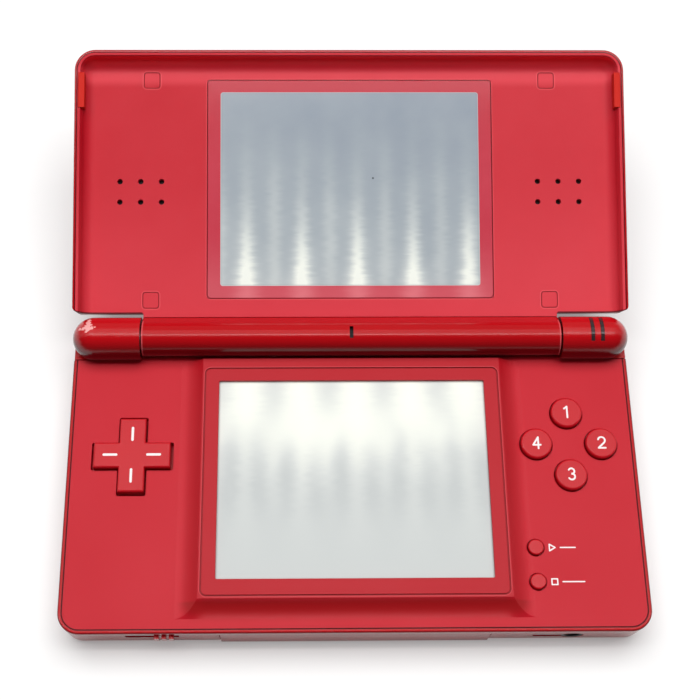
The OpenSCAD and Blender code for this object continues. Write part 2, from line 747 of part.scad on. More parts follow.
module cartridge_socket() color("silver") place() {
    w = cart_w / 2;
    front = shell_wall + seam;
    difference() {
        box(-w - rail_t, w + rail_t, front, cart_back + 2.6, floor_z + seam, cart_z + cart_h + 0.25);
        box(-w, w, front - 1, cart_back, floor_z - 1, cart_z + cart_h);
        for (k = [0:31]) translate([-w + 6 + k * (cart_w - 12.8) / 31, cart_back - 0.1, cart_z + 1.4])
            cube([0.8, 1.6, 2]);
    }
}

module headphone_jack() color("dimgray") place() {
    front = shell_wall + seam;
    difference() {
        union() {
            box(jack_x - jack_left, jack_x + jack_right, front, jack_l + 1.4, floor_z + seam,
                board_top + 0.3);
            bar_y(jack_x, jack_z, jack_front, front, jack_nose_r);
        }
        bar_y(jack_x, jack_z, 0, jack_front + jack_l, jack_r);
        box(jack_x - jack_left + 0.8, jack_x - 3.1, front - 1, 8, jack_z - 0.8, jack_z + 0.8);
    }
}

module charge_socket() color("dimgray") place() {
    back = base_back - shell_wall - seam;
    difference() {
        box(charge_x - charge_w / 2 - 0.8, charge_x + charge_w / 2 + 0.8, back - 9, back, floor_z + seam,
            board_z - seam);
        box(charge_x - charge_w / 2 + 0.2, charge_x + charge_w / 2 - 0.2, back - 7, back + 1,
            charge_z - charge_h / 2 + 0.2, charge_z + charge_h / 2 - 0.2);
    }
    box(charge_x - 2.6, charge_x + 2.6, back - 7.1, back - 0.6, charge_z - 0.4, charge_z + 0.4);
}

// ---- Controls and what they press on ----

module cross_membrane() color("lightgray") place() {
    post(-cross_x, cross_y, board_top, cross_pad_top, rocker_r + seam);
}

module keys_membrane() color("lightgray") place() {
    half = keys_ring + 3.6;
    translate([keys_x, 0, 0]) plate(2 * half, keys_y - half, keys_y + half, 4, board_top, board_top + pad_t);
}

module small_keys_membrane() color("lightgray") place() {
    margin = small_r + 1.6;
    translate([small_x, 0, 0]) plate(2 * small_r + 2.8, small_y - margin, small_y + small_pitch + margin, 2.4,
        board_top + 0.35, board_top + 0.75);
}

// Round button: a cap with a round edge on a flange that holds it under the panel
module round_button(x, y, r, top, edge_r, flange) {
    translate([x, y, key_low]) rotate_extrude() {
        square([flange, flange_t]);
        square([r, top - edge_r - key_low]);
        translate([0, top - edge_r - key_low]) square([r - edge_r, edge_r]);
        translate([r - edge_r, top - edge_r - key_low]) quarter(edge_r);
    }
}

module face_key(turn) color("crimson") place() {
    round_button(keys_x + keys_ring * cos(turn), keys_y + keys_ring * sin(turn), key_r,
        panel_z + key_proud, 0.55, key_r + 0.9);
}

module small_key(step) color("crimson") place() {
    round_button(small_x, small_y + step * small_pitch, small_r, panel_z + small_proud, 0.35, small_r + 0.7);
}

module top_button() face_key(90);
module right_button() face_key(0);
module bottom_button() face_key(270);
module left_button() face_key(180);
module upper_small_button() small_key(1);
module lower_small_button() small_key(0);

// Front view of a bar with its top edges rounded, centred on x = 0
module bar_section(w, z0, z1, r) {
    translate([-w / 2, z0]) square([w, z1 - z0 - r]);
    translate([-w / 2 + r, z1 - r]) square([w - 2 * r, r]);
    for (side = [0, 1]) mirror([side, 0]) translate([w / 2 - r, z1 - r]) quarter(r);
}

// Bar l long in x and w wide in y with all its top edges rounded
module key_bar(l, w, z0, z1, r) {
    intersection() {
        along_x(-l / 2, l / 2) bar_section(w, z0, z1, r);
        translate([0, w / 2, 0]) rotate([90, 0, 0]) linear_extrude(w) bar_section(l, z0, z1, r);
    }
}

module cross_button() color("crimson") place() translate([-cross_x, cross_y, 0]) {
    for (turn = [0, 90]) rotate([0, 0, turn])
        key_bar(cross_size, cross_arm, cross_low, panel_z + cross_proud, cross_edge_r);
    post(0, 0, rocker_mid, cross_low + 0.5, cross_post_r);
    translate([0, 0, rocker_mid]) sphere(tilt_ball_r);
}

module cross_rocker() color("darkred") place() translate([-cross_x, cross_y, 0]) {
    difference() {
        post(0, 0, rocker_low, rocker_high, rocker_r);
        translate([0, 0, rocker_mid]) sphere(cross_post_r + rocker_room);
    }
}

module volume_pot() color("dimgray") place() {
    box(-volume_x - volume_slot / 2 - 0.6, -volume_x + volume_slot / 2 + 0.6, shell_wall + carrier_t + 0.3, 6,
        board_z + seam, volume_z + 1.5);
}

module volume_slider() color("firebrick") place() {
    x = -volume_x + volume_slot / 2 - 1.1 - volume_knob / 2;
    difference() {
        box(x - volume_knob / 2, x + volume_knob / 2, -volume_proud, shell_wall + seam, volume_z - volume_half,
            volume_z + volume_half);
        for (side = [-1, 1]) box(x + side * 0.8 - 0.3, x + side * 0.8 + 0.3, -1, 0, volume_z - 2, volume_z + 2);
    }
    box(x - volume_knob / 2 - 0.4, x + volume_knob / 2 + 0.4, shell_wall + seam,
        shell_wall + seam + carrier_t, volume_z - volume_half - 0.4, volume_z + volume_half + 0.4);
}

module power_switch() color("dimgray") place() {
    x = half_w - shell_wall - carrier_t - 0.3;
    box(x - 3, x, power_y - power_slot / 2, power_y + power_slot / 2, power_z - 1.4, board_z - seam);
}

module power_slider() color("firebrick") place() {
    x = half_w - shell_wall - seam;
    y = power_y - power_travel / 2;
    difference() {
        box(x, half_w - seam, y - power_knob / 2, y + power_knob / 2, power_z - knob_half,
            power_z + knob_half);
        for (side = [-1, 0, 1]) box(half_w - 0.5, console_w, y + side * 1.2 - 0.25, y + side * 1.2 + 0.25,
            power_z - 1, power_z + 1);
    }
    box(x - carrier_t, x, y - power_knob / 2 - 0.8, y + power_knob / 2 + 0.8, power_z - 1.1, power_z + 1.1);
}

// ---- Shoulder buttons ----

// The right shoulder button: a skin that wraps the console's rear corner, with its pivot boss
module shoulder_button() color("firebrick") place() {
    front = corner_cut_y + button_gap;
    high = ledge_z - roof_t - 0.2;
    top = panel_low - seam;
    outer = half_w;
    difference() {
        intersection() {
            base_block();
            union() {
                box(shoulder_x, outer + 1, front, base_back + 1, shoulder_low, high);
                box(cheek_x + 0.7, outer + 1, front, base_back + 1, shoulder_low, top);
            }
        }
        translate([0, 0, shoulder_low - 1]) linear_extrude(top - shoulder_low + 2)
            soft_rect(console_w - 2 * shoulder_wall, 0, base_back - shoulder_wall, corner_r - shoulder_wall);
    }
    difference() {
        post(pivot_x, pivot_y, shoulder_low, pivot_boss_top, pivot_boss_r);
        post(pivot_x, pivot_y, shoulder_low - 1, pivot_boss_top + 1, pivot_r + run_gap);
    }
    box(outer - 5.4, outer - 3.4, front + 0.4, base_back - shoulder_wall + eps, shoulder_low + 0.9, 6.4);
}

module right_shoulder_button() shoulder_button();
module left_shoulder_button() mirror([1, 0, 0]) shoulder_button();

module shoulder_switches() color("dimgray") place() {
    x = half_w - 4.4;
    high_y = corner_cut_y + 0.7;
    both_sides() box(x - switch_w / 2, x + switch_w / 2, high_y - switch_d, high_y, switch_low,
        board_z - seam);
}

module shoulder_pins() color("silver") place() {
    both_sides() post(pivot_x, pivot_y, floor_z + 0.3, ledge_z - 0.35, pivot_r);
}

module shoulder_springs() color("silver") place() {
    both_sides() difference() {
        post(pivot_x, pivot_y, pivot_boss_top + seam, ledge_z - roof_t - seam, spring_r);
        post(pivot_x, pivot_y, pivot_boss_top, ledge_z, pivot_r + run_gap);
    }
}

// ---- Loose parts of the base ----

module stylus() color("firebrick") place() {
    out = half_w - seam;
    translate([out - stylus_l, stylus_y, stylus_z]) rotate([0, 90, 0]) rotate_extrude() {
        polygon([[0, 0], [0.5, 0], [0.8, 0.5], [1.3, 4], [1.9, 5], [stylus_r, 7], [stylus_r, stylus_l - 0.4],
            [stylus_r - 0.4, stylus_l], [0, stylus_l]]);
    }
}

module dust_cover() color("firebrick") place() {
    w = cart_w / 2 - dust_gap;
    low = cart_z + dust_gap;
    high = cart_z + cart_h - dust_gap;
    box(-w, w, seam, 2, low, high);
    for (side = [0, 1]) mirror([side, 0, 0]) box(w - 3, w, 2 - eps, cart_d - 3, low + 0.6, high - 0.6);
}

// ---- Hinge ----

module hinge_clutch() color("silver") place() translate([0, hinge_y, hinge_z]) {
    difference() {
        bar_x(knuckle_x + 0.2, clutch_out, clutch_r);
        bar_x(knuckle_x, clutch_out - 1, shaft_r + run_gap);
    }
}

module hinge_bush() color("silver") place() translate([0, hinge_y, hinge_z]) mirror([1, 0, 0]) {
    difference() {
        bar_x(knuckle_x + 0.2, clutch_out, clutch_r);
        bar_x(knuckle_x, clutch_out - 1, sleeve_r + run_gap);
    }
}

module hinge_shaft() color("silver") in_lid() bar_x(barrel_half - barrel_end - 1, clutch_out - 1.3, shaft_r);

module hinge_sleeve() color("silver") in_lid() mirror([1, 0, 0]) difference() {
    bar_x(barrel_half - barrel_end - 1, clutch_out - 1.3, sleeve_r);
    bar_x(0, dome_x, sleeve_bore_r);
}

module light_slots(gap) {
    for (x = light_at) box(x - light_w / 2 - gap, x + light_w / 2 + gap, hinge_y - light_front - gap,
        hinge_y + light_rear + gap, hinge_z, hinge_z + knuckle_r + 1);
}

module light_guides() color("slategray") place() intersection() {
    light_slots(0);
    translate([0, hinge_y, hinge_z]) difference() {
        bar_x(knuckle_x, dome_x, knuckle_r);
        bar_x(knuckle_x - 1, dome_x + 1, clutch_r + 0.05);
    }
}

// ---- Lid ----

module barrel() {
    neck_u = inner_u - seam;
    turn = acos(barrel_r / norm([neck_u, face_n])) - atan2(face_n, neck_u);
    touch = barrel_r - 0.03;
    difference() {
        union() {
            bar_x(-barrel_half, barrel_half, barrel_r);
            box(-barrel_half, barrel_half, 2, ear_u + rear_wall, -neck_n, -skin_n - seam);
            along_x(-barrel_half, barrel_half)
                polygon([[2, -neck_n], [neck_u, -neck_n], [neck_u, -face_n],
                    [touch * cos(turn), touch * sin(turn)], [2, 0]]);
        }
        bar_x(barrel_end - barrel_half, barrel_half - barrel_end, barrel_r - barrel_wall);
        bar_x(0, barrel_half + 1, shaft_r + pilot_gap);
        bar_x(-barrel_half - 1, 0, sleeve_r + pilot_gap);
        rotate([mic_angle, 0, 0]) box(-0.43, 0.43, 0, barrel_r + 1, -1.5, 1.5);
    }
}

// Side view of the lid's back with its rear edge rounded
module lid_side() {
    translate([ear_u + back_r, -back_n - 1]) square([lid_len, back_n + rim_n + 2]);
    translate([ear_u, back_r - back_n]) square([back_r, back_n + rim_n]);
    translate([ear_u + back_r, back_r - back_n]) rotate(180) quarter(back_r);
}

module lid_outer_shell() color("firebrick") in_lid() {
    in_r = corner_r - outer_rim_w;
    in_w = lid_w - 2 * outer_rim_w;
    low = back_t - back_n;
    difference() {
        intersection() {
            turned_block(lid_w, -10, lid_len, corner_r, -back_n, rim_n)
                edge_section(corner_r, -back_n, rim_n, back_r, rim_r);
            along_x(-console_w, console_w) lid_side();
            plate(lid_w, ear_u, lid_len + 10, ear_r, -back_n - 1, rim_n + 1);
        }
        turned_block(in_w, ear_u + rear_wall, lid_len - outer_rim_w, in_r, low, -skin_n)
            edge_section(in_r, low, -skin_n, 1.2, 0.2);
        plate(in_w, -20, lid_len - outer_rim_w, in_r, -skin_n - seam, rim_n + 1);
    }
    for (p = lid_screws_at) difference() {
        post(p[0], p[1], low - eps, -skin_n - seam, 2);
        post(p[0], p[1], low + 0.5, -skin_n, screw_r + pilot_gap);
    }
    barrel();
}

// Section of the hollow inside the rim: floor, fillet and leaning wall
module tray_section(reach) {
    foot = reach - rim_lean - tray_r;
    translate([0, -face_n]) square([foot, tray_r]);
    translate([foot, tray_r - face_n]) mirror([0, 1]) quarter(tray_r);
    polygon([[0, tray_r - face_n], [foot + tray_r, tray_r - face_n], [reach, rim_n], [reach, rim_n + 1],
        [0, rim_n + 1]]);
}

module speaker_holes() {
    for (side = [-1, 1], col = [-1:1], row = [-0.5, 0.5])
        post(side * speaker_x + col * speaker_pitch, speaker_u + row * speaker_pitch, -skin_n - 1, 0,
            speaker_hole / 2);
}

module bumper_room(gap) {
    x = lid_w / 2 - outer_rim_w - seam - 0.25;
    both_sides() box(x - bumper_w - gap, x + gap, bumper_u - gap, bumper_u + bumper_l + gap, rim_n - 2.2 - gap,
        rim_n + bumper_proud + gap);
}

module lid_inner_shell() color("crimson") in_lid() {
    out_w = lid_w - 2 * outer_rim_w - 2 * seam;
    out_r = corner_r - outer_rim_w - seam;
    in_r = corner_r - rim_total;
    difference() {
        intersection() {
            plate(out_w, -10, lid_len - outer_rim_w - seam, out_r, -skin_n, rim_n);
            union() {
                plate(out_w, ear_u, lid_len + 10, ear_r - outer_rim_w, -10, 10);
                box(-barrel_half, barrel_half, inner_u, ear_u + 5, -10, 10);
            }
        }
        turned_block(lid_w - 2 * rim_total, -20, lid_len - rim_total, in_r, -face_n, rim_n + 1)
            tray_section(in_r);
        plate(plate_w + 2 * seam, plate_u - seam, plate_u + plate_h + seam, 0.6, -face_n - plate_t, 0);
        plate(window_w + 3.8, plate_u + 1.2, plate_u + plate_h - 1.2, 0.4, -skin_n - 1, 0);
        for (p = lid_screws_at) {
            translate([p[0], p[1], 0]) plate(cover_w + seam, -cover_w / 2 - seam / 2, cover_w / 2 + seam / 2,
                cover_corner, -face_n - cover_t, 0);
            post(p[0], p[1], -skin_n - 1, 0, screw_r + hole_gap);
            post(p[0], p[1], -face_n - cover_t - lid_head_h, 0, lid_head_r + hole_gap);
        }
        speaker_holes();
        bumper_room(0.08);
    }
}

module window_plate() color("indianred") in_lid() {
    plate(plate_w, plate_u, plate_u + plate_h, 0.5, seam / 2 - face_n - plate_t, -face_n);
}

module upper_display() color("dimgray") in_lid() {
    top = -face_n - plate_t;
    box(-window_w / 2 - lcd_edge, window_w / 2 + lcd_edge, plate_u + 1.5, plate_u + plate_h - 1.5,
        top - upper_lcd_t, top);
}

module speaker(side) color("dimgray") in_lid() {
    translate([side * speaker_x, speaker_u, -skin_n - seam]) mirror([0, 0, 1]) rotate_extrude() {
        square([speaker_r, 1]);
        square([speaker_r * 0.6, 2.3]);
    }
}

module left_speaker() speaker(-1);
module right_speaker() speaker(1);

module microphone() color("dimgray") in_lid() rotate([mic_angle - 90, 0, 0])
    post(0, 0, 1, sqrt(pow(barrel_r - barrel_wall, 2) - mic_r * mic_r) - 0.05, mic_r);

module lid_screws() color("silver") in_lid() for (p = lid_screws_at) {
    head_z = -face_n - cover_t - lid_head_h;
    post(p[0], p[1], head_z, head_z + lid_head_h - 0.05, lid_head_r);
    post(p[0], p[1], back_t - back_n + 0.6, head_z + eps, screw_r);
}

module screw_covers() color("crimson") in_lid() for (p = lid_screws_at) {
    translate([p[0], p[1], 0])
        plate(cover_w, -cover_w / 2, cover_w / 2, cover_corner, -face_n - cover_t, -face_n);
}

module rim_bumpers() color("orangered") in_lid() bumper_room(0);

module display_ribbon() color("peru") in_lid() difference() {
    bar_x(8 - barrel_half, 8 - barrel_half + ribbon_l, barrel_r - barrel_wall - 0.3);
    bar_x(-barrel_half, 0, barrel_r - barrel_wall - 0.9);
}

base_lower_shell();
base_upper_shell();
touch_panel();
lower_display();
main_board();
radio_module();
battery();
battery_cover();
battery_cover_screw();
case_screws();
rubber_feet();
card_socket();
cartridge_socket();
cross_membrane();
keys_membrane();
small_keys_membrane();
headphone_jack();
charge_socket();
volume_pot();
power_switch();
shoulder_switches();
shoulder_pins();
shoulder_springs();
hinge_clutch();
hinge_bush();
light_guides();
lid_outer_shell();
lid_inner_shell();
window_plate();
upper_display();
left_speaker();
right_speaker();
microphone();
lid_screws();
screw_covers();
rim_bumpers();
hinge_shaft();
hinge_sleeve();
display_ribbon();
cross_rocker();
cross_button();
top_button();
right_button();
bottom_button();
left_button();
upper_small_button();
lower_small_button();
volume_slider();
power_slider();
left_shoulder_button();
right_shoulder_button();
stylus();
dust_cover();
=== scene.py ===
"""Looks of the open clamshell console: painted shells, screens, keys, printed marks, table, light and camera.
Lengths are in metres in the row frame. The base runs along Y from the front edge to the hinge."""
import math

import bmesh
import bpy
from mathutils import Matrix, Vector


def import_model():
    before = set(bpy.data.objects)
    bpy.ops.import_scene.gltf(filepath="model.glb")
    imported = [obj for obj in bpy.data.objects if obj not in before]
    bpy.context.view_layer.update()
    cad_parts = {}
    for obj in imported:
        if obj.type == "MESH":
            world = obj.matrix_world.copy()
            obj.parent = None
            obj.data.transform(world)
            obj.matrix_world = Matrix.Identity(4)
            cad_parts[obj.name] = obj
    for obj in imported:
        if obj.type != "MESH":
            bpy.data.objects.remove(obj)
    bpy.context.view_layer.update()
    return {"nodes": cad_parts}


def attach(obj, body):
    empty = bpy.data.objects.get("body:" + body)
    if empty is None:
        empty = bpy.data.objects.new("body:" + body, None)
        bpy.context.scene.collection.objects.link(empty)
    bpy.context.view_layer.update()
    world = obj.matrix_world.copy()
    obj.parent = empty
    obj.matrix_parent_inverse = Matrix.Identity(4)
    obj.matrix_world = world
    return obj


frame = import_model()
nodes = frame["nodes"]

MM = 0.001
MID_Y = 68.27484695889962
HINGE_Y = (69.5 - MID_Y) * MM
HINGE_Z = 14.8 * MM
LID_TILT = math.radians(18.5)

# Measures in millimetres: y from the front edge, u out along the lid from the hinge axis.
CORNER_X, CORNER_R = 61.5, 5.0          # centres and radius of the halves' round corners
FRONT_CORNER_Y, LID_CORNER_U = -64.5, 64.9    # the same centres, before and behind the hinge axis
KNUCKLE_X = 50.0                        # where the knuckles begin, on each side
BLOCK_FRONT = -62.1                     # the screen block's front edge, before the hinge axis
SCREEN_X, SCREEN_LENGTH = 31.1, 47.5    # half width of each lit screen inside its border, and its length
PANEL_Z = 11.6                          # the control panel, over the table
KEYS_AT, KEY_STEP, KEY_RISE = (50.7, 43.65), 7.62, 1.3
CROSS_AT, CROSS_RISE = (-51.35, 41.1), 1.5
MARKS_X = 44.4                          # where the marks beside the small buttons begin
INK_SINK, INK_THICK, INK_STEP = 0.005, 0.03, 0.003


# ---- Shader writing ----

class Wire:
    """A shader socket that is written into sums and products."""

    def __init__(self, look, socket):
        self.look, self.socket = look, socket

    def _math(self, operation, *values, clamp=False):
        return self.look.node("Math", {"operation": operation, "use_clamp": clamp}, dict(enumerate(values)))

    def __add__(self, other):
        return self._math("ADD", self, other)

    def __radd__(self, other):
        return self._math("ADD", other, self)

    def __sub__(self, other):
        return self._math("SUBTRACT", self, other)

    def __rsub__(self, other):
        return self._math("SUBTRACT", other, self)

    def __mul__(self, other):
        return self._math("MULTIPLY", self, other)

    def __rmul__(self, other):
        return self._math("MULTIPLY", other, self)

    def __truediv__(self, other):
        return self._math("DIVIDE", self, other)

    def __pow__(self, other):
        return self._math("POWER", self, other)

    def __abs__(self):
        return self._math("ABSOLUTE", self)

    def clamp(self):
        return self._math("ADD", self, 0.0, clamp=True)

    def sin(self):
        return self._math("SINE", self)

    def at_least(self, other):
        return self._math("MAXIMUM", self, other)

    def at_most(self, other):
        return self._math("MINIMUM", self, other)

    def rise(self, low, high):
        """0 below low, 1 above high, smooth between."""
        return self.look.node("MapRange", {"interpolation_type": "SMOOTHSTEP"}, {
            "Value": self, "From Min": low, "From Max": high})


class Look:
    """One finish, or the room's light: a node tree with a single shader."""

    def __init__(self, name, room=False):
        self.owner = (bpy.data.worlds if room else bpy.data.materials).new(name)
        self.owner.use_nodes = True
        self.tree = self.owner.node_tree
        self.tree.nodes.clear()
        self._end = "OutputWorld" if room else "OutputMaterial"
        self._place = None

    def node(self, kind, settings, values, out=0):
        made = self.tree.nodes.new("ShaderNode" + kind)
        for name, value in settings.items():
            setattr(made, name, value)
        for name, value in values.items():
            if isinstance(value, Wire):
                self.tree.links.new(value.socket, made.inputs[name])
            else:
                made.inputs[name].default_value = value
        return Wire(self, made.outputs[out])

    def place(self):
        """Where the point is in the row frame, in millimetres from the hinge axis's middle."""
        if self._place is None:
            point = self.node("TexCoord", {}, {}, out="Object")
            moved = self.node("VectorMath", {"operation": "SUBTRACT"}, {0: point, 1: (0, HINGE_Y, HINGE_Z)})
            self._place = self.node("VectorMath", {"operation": "SCALE"}, {0: moved, "Scale": 1.0 / MM})
        return self._place

    def lid_place(self):
        """The same point in the lid's own frame: along the hinge, out along the lid, over the hinge axis."""
        return self.node("VectorRotate", {"rotation_type": "X_AXIS"},
                         {"Vector": self.place(), "Angle": -LID_TILT})

    def facing(self):
        """Which way the surface looks, across, back and up, on the piece as it lies at rest."""
        return self.split(self.node("TexCoord", {}, {}, out="Normal"))

    def rays(self):
        """1 for rays from the camera, for mirrored rays and for rays through clear pieces."""
        path = self.node("LightPath", {}, {}).socket.node
        return [Wire(self, path.outputs[kind])
                for kind in ("Is Camera Ray", "Is Glossy Ray", "Is Transmission Ray")]

    def split(self, vector):
        made = self.tree.nodes.new("ShaderNodeSeparateXYZ")
        self.tree.links.new(vector.socket, made.inputs[0])
        return [Wire(self, s) for s in made.outputs]

    def noise(self, vector, scale, detail=3.0, rough=0.55):
        return self.node("TexNoise", {}, {
            "Vector": vector, "Scale": scale, "Detail": detail, "Roughness": rough})

    def stretched(self, vector, x, y, z):
        return self.node("VectorMath", {"operation": "MULTIPLY"}, {0: vector, 1: (x, y, z)})

    def mix(self, factor, a, b):
        return self.node("Mix", {"data_type": "RGBA"}, {0: factor, 6: a, 7: b}, out=2)

    def ramp(self, factor, stops):
        made = self.node("ValToRGB", {}, {0: factor})
        ramp = made.socket.node.color_ramp
        while len(ramp.elements) < len(stops):
            ramp.elements.new(0.5)
        for element, (at, colour) in zip(ramp.elements, stops):
            element.position, element.color = at, colour
        return made

    def bump(self, height, strength, distance, base=None):
        values = {"Height": height, "Strength": strength, "Distance": distance}
        if base is not None:
            values["Normal"] = base
        return self.node("Bump", {}, values)

    def soft_edges(self, radius):
        return self.node("Bevel", {"samples": 4}, {"Radius": radius})

    def finish(self, **sockets):
        """The Principled shader's sockets by name, such as base_color."""
        values = {name.replace("_", " ").title().replace("Ior", "IOR"): value
                  for name, value in sockets.items()}
        return self.out(self.node("BsdfPrincipled", {}, values))

    def out(self, shader):
        end = self.tree.nodes.new("ShaderNode" + self._end)
        self.tree.links.new(shader.socket, end.inputs["Surface"])
        return self.owner


def rgb(r, g, b):
    """Screen colour 0-255 as a linear colour."""
    out = []
    for c in (r, g, b):
        c /= 255.0
        out.append(c / 12.92 if c <= 0.04045 else ((c + 0.055) / 1.055) ** 2.4)
    return (*out, 1.0)


def inside(a, low, high, soft):
    """1 where a lies between low and high, with soft borders."""
    return a.rise(low - soft, low + soft) * (1.0 - a.rise(high - soft, high + soft))


# ---- Finishes ----

def rounded_inset(over_x, over_y, radius):
    """Depth inside an outline whose round corners have their centres where both values are 0."""
    square = over_x.at_least(0.0) ** 2.0 + over_y.at_least(0.0) ** 2.0
    return radius - (square ** 0.5 + over_x.at_least(over_y).at_most(0.0))


def line_at(value, middle, half, soft=0.06):
    """1 within a narrow line."""
    return 1.0 - abs(value - middle).rise(half, half + soft)


def base_seam(look, at, base, rough):
    """Dust and shade in the seam between the rim and the control panel, and painted shade along the shell's
    outer edge.
    """
    x, y, z = look.split(at)
    inset = rounded_inset(abs(x) - CORNER_X, FRONT_CORNER_Y - y, CORNER_R)
    # Painted shade along the shell's outer edge.
    outline = (1.0 - inset.rise(0.16, 0.4)) * 0.85
    seam = line_at(inset, 0.93, 0.12, 0.12).at_least(outline) * z.rise(-3.9, -3.6)
    return look.mix(seam * 0.85, base, DUST_AND_SHADE_RED), rough


def lid_rim_seam(look, x, u, n, base):
    """Dust and shade along the lid's rim, where its two shells meet, and painted shade along its outer edge.
    """
    inset = rounded_inset(abs(x) - CORNER_X, u - LID_CORNER_U, CORNER_R)
    # Painted shade along the rim's outer edge.
    outline = (1.0 - inset.rise(0.1, 0.34)) * 0.8
    seam = line_at(inset, 0.7, 0.07, 0.1).at_least(outline) * n.rise(1.8, 2.3)
    return look.mix(seam * 0.8, base, DUST_AND_SHADE_RED)


def turned_up(back, up):
    """1 on faces that look up and a little back, 0 on faces that look forward or down."""
    return (back * 0.3 + up * 0.95).rise(-0.1, 0.97)


def shaded_front(look):
    """The low front of the barrel and the knuckles, a band that the base keeps in shade."""
    _, back, up = look.facing()
    return (1.0 - turned_up(back, up)) * up.rise(-0.75, -0.35) * (1.0 - back.rise(-0.2, 0.6))


def lid_seams(look, at, base, rough):
    """The lid's outer shell: painted shade on the barrel's low front, a painted highlight along the barrel's
    ends, and the rim's seam.
    """
    x, y, z = look.split(at)
    off_axis = y * y + z * z
    base = look.mix(shaded_front(look) * (1.0 - off_axis.rise(28.0, 32.0)), base, GLOSS_SHADE)
    # A painted highlight along the barrel's ends, by the knuckles.
    barrel_end_highlight = inside(abs(x), 49.5, 49.75, 0.05) * (1.0 - off_axis.rise(18.5, 19.5))
    base = look.mix(barrel_end_highlight * 0.45, base, rgb(238, 120, 126))
    x, u, n = look.split(look.lid_place())
    return lid_rim_seam(look, x, u, n, base), rough


def cover_grooves(look, base):
    """Painted shade in the fine groove round each square screw cover, with a painted highlight on the edge
    outside it.
    """
    x, u, _ = look.split(look.lid_place())
    away = abs(u - 36.35) - 26.95
    inset = rounded_inset(abs(abs(x) - 48.1) - 1.275, abs(away) - 1.275, 0.6)
    base = look.mix(line_at(inset, -0.32, 0.05, 0.12) * 0.3, base, rgb(236, 110, 116))
    return look.mix(line_at(inset, -0.03, 0.09, 0.1) * 0.75, base, rgb(150, 12, 24))


def block_groove(look, at, base):
    """Painted shade in the fine groove round the screen block's face, and a painted highlight on the edge
    outside it.
    """
    x, y, z = look.split(at)
    inset = rounded_inset(abs(x) - 33.35, abs(y + 34.3) - 25.85, 1.5)
    on_face = z.rise(-2.2, -1.9)
    base = look.mix(line_at(inset, -0.12, 0.04, 0.1) * on_face * 0.35, base, rgb(232, 96, 104))
    return look.mix(line_at(inset, 0.17, 0.13, 0.1) * on_face * 0.7, base, rgb(138, 4, 16))


def plate_outline(look, x, u, base):
    """Painted shade in the gap round the window plate, with a painted highlight just outside it."""
    inset = rounded_inset(abs(x) - 33.55, abs(u - 36.6) - 25.75, 1.0)
    base = look.mix(line_at(inset, -0.3, 0.05, 0.12) * 0.25, base, rgb(236, 104, 112))
    return look.mix(line_at(inset, 0.0, 0.1, 0.1) * 0.7, base, rgb(128, 8, 22))


def painted(name, colour, dark, roughness, coat, coat_rough, grain, edge=0.00012, extra=None,
            relief=None, shine=0.5, deep=None):
    """Sprayed paint on moulded plastic: faint clouding, fine grain and hairline rubs.
    Painted light and shade: faces that turn away from the light above take the side shading tone. Extra
    paints seams, wear, painted shade and painted highlights on top."""
    look = Look(name)
    at = look.place()
    cloud = look.noise(at, 0.045, 2.0)
    fine = look.noise(at, 9.0, 2.0)
    base = look.mix((cloud * 0.8 + fine * 0.35).clamp(), colour, dark)
    rub = look.noise(look.stretched(at, 0.6, 1.0, 1.0), 1.4, 6.0, 0.7).rise(0.66, 0.74)
    rough = roughness + (cloud - 0.5) * 0.08 + rub * 0.06
    # Painted shading: faces that turn away from the light above take the side shading tone.
    if deep:
        _, back, up = look.facing()
        base = look.mix(turned_up(back, up), deep, base)
    if extra:
        base, rough = extra(look, at, base, rough)
    normal = look.bump(fine, grain, 0.00004, look.soft_edges(edge))
    if relief:
        normal = look.bump(relief(look, at), 1.0, 0.001, normal)
    return look.finish(base_color=base, roughness=rough, normal=normal, coat_weight=coat,
                       coat_roughness=coat_rough, specular_ior_level=shine)


RED = rgb(190, 8, 33)
RED_DEEP = rgb(182, 6, 28)
BLOCK_RED = rgb(173, 4, 24)
# Painted shade on the slopes before the screen block.
SLOPE_SHADE_RED = rgb(150, 0, 6)
# Dust and painted shade in the seams, and painted shade at the lid's ear ends.
DUST_AND_SHADE_RED = rgb(84, 2, 12)
GLOSS = rgb(182, 3, 14)
GLOSS_DEEP = rgb(170, 2, 11)
GLOSS_SHADE = rgb(84, 1, 6)
# The tone painted on lacquered faces that turn away from the light above, for how the light falls on them.
SIDE_SHADING_RED = rgb(186, 10, 22)


# Chipped paint on the left knuckle: x along the hinge, y behind the axis, and each flake's reach.
FLAKES = ((-62.4, 0.9, 0.85), (-62.3, 2.1, 0.6), (-62.25, 3.1, 0.42), (-63.4, 0.8, 0.5),
          (-64.2, 0.75, 0.32), (-61.4, 0.75, 0.5), (-60.75, 0.9, 0.3), (-62.45, 0.0, 0.4),
          (-61.8, 1.6, 0.4))


def hollow_front(look, at):
    """How far the slope before the screen block sags under a straight line, in millimetres."""
    x, y, _ = look.split(at)
    along = ((BLOCK_FRONT - y) / 4.2).clamp()
    return along * (along - 1.0) * 1.9 * (1.0 - abs(x).rise(33.0, 37.0))


